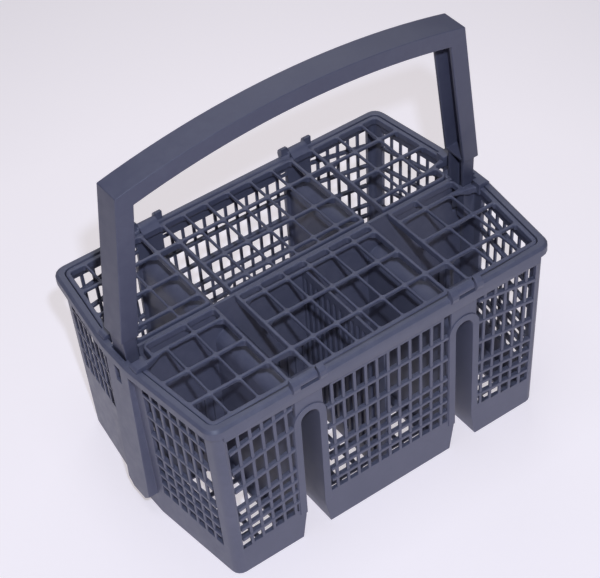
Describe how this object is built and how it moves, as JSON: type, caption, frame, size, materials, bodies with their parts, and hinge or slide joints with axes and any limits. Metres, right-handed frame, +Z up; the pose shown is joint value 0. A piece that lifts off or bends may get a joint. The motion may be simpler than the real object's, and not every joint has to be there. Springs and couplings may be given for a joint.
{
  "type": "dishwasher cutlery basket",
  "caption": "Slate-grey moulded cutlery basket for a dishwasher rack, with lattice walls, rack tunnels, a snap-in arched handle and hinged grid lids.",
  "frame": {"origin": "centre of the base, on the floor of the dishwasher rack", "axes": "+X along the length of the basket from one handle socket to the other, -Y to the front lid, +Z up"},
  "size_m": [0.247, 0.165, 0.246],
  "materials": {
    "basket": "matte moulded polypropylene",
    "handle": "matte moulded polypropylene",
    "lid": "matte moulded polypropylene"
  },
  "bodies": {
    "basket": {"basket": "basket", "handle": "handle"},
    "front_lid": {"front_lid": "lid"},
    "rear_lid": {"rear_lid": "lid"}
  },
  "joints": [
    {"name": "front_lid_hinge", "type": "hinge", "parent": "basket", "child": "front_lid", "pos_m": [0, -0.0775, 0.1245], "axis": [1, 0, 0], "range_deg": [0, 95]},
    {"name": "rear_lid_hinge", "type": "hinge", "parent": "basket", "child": "rear_lid", "pos_m": [0, 0.0775, 0.1245], "axis": [-1, 0, 0], "range_deg": [0, 95]}
  ]
}
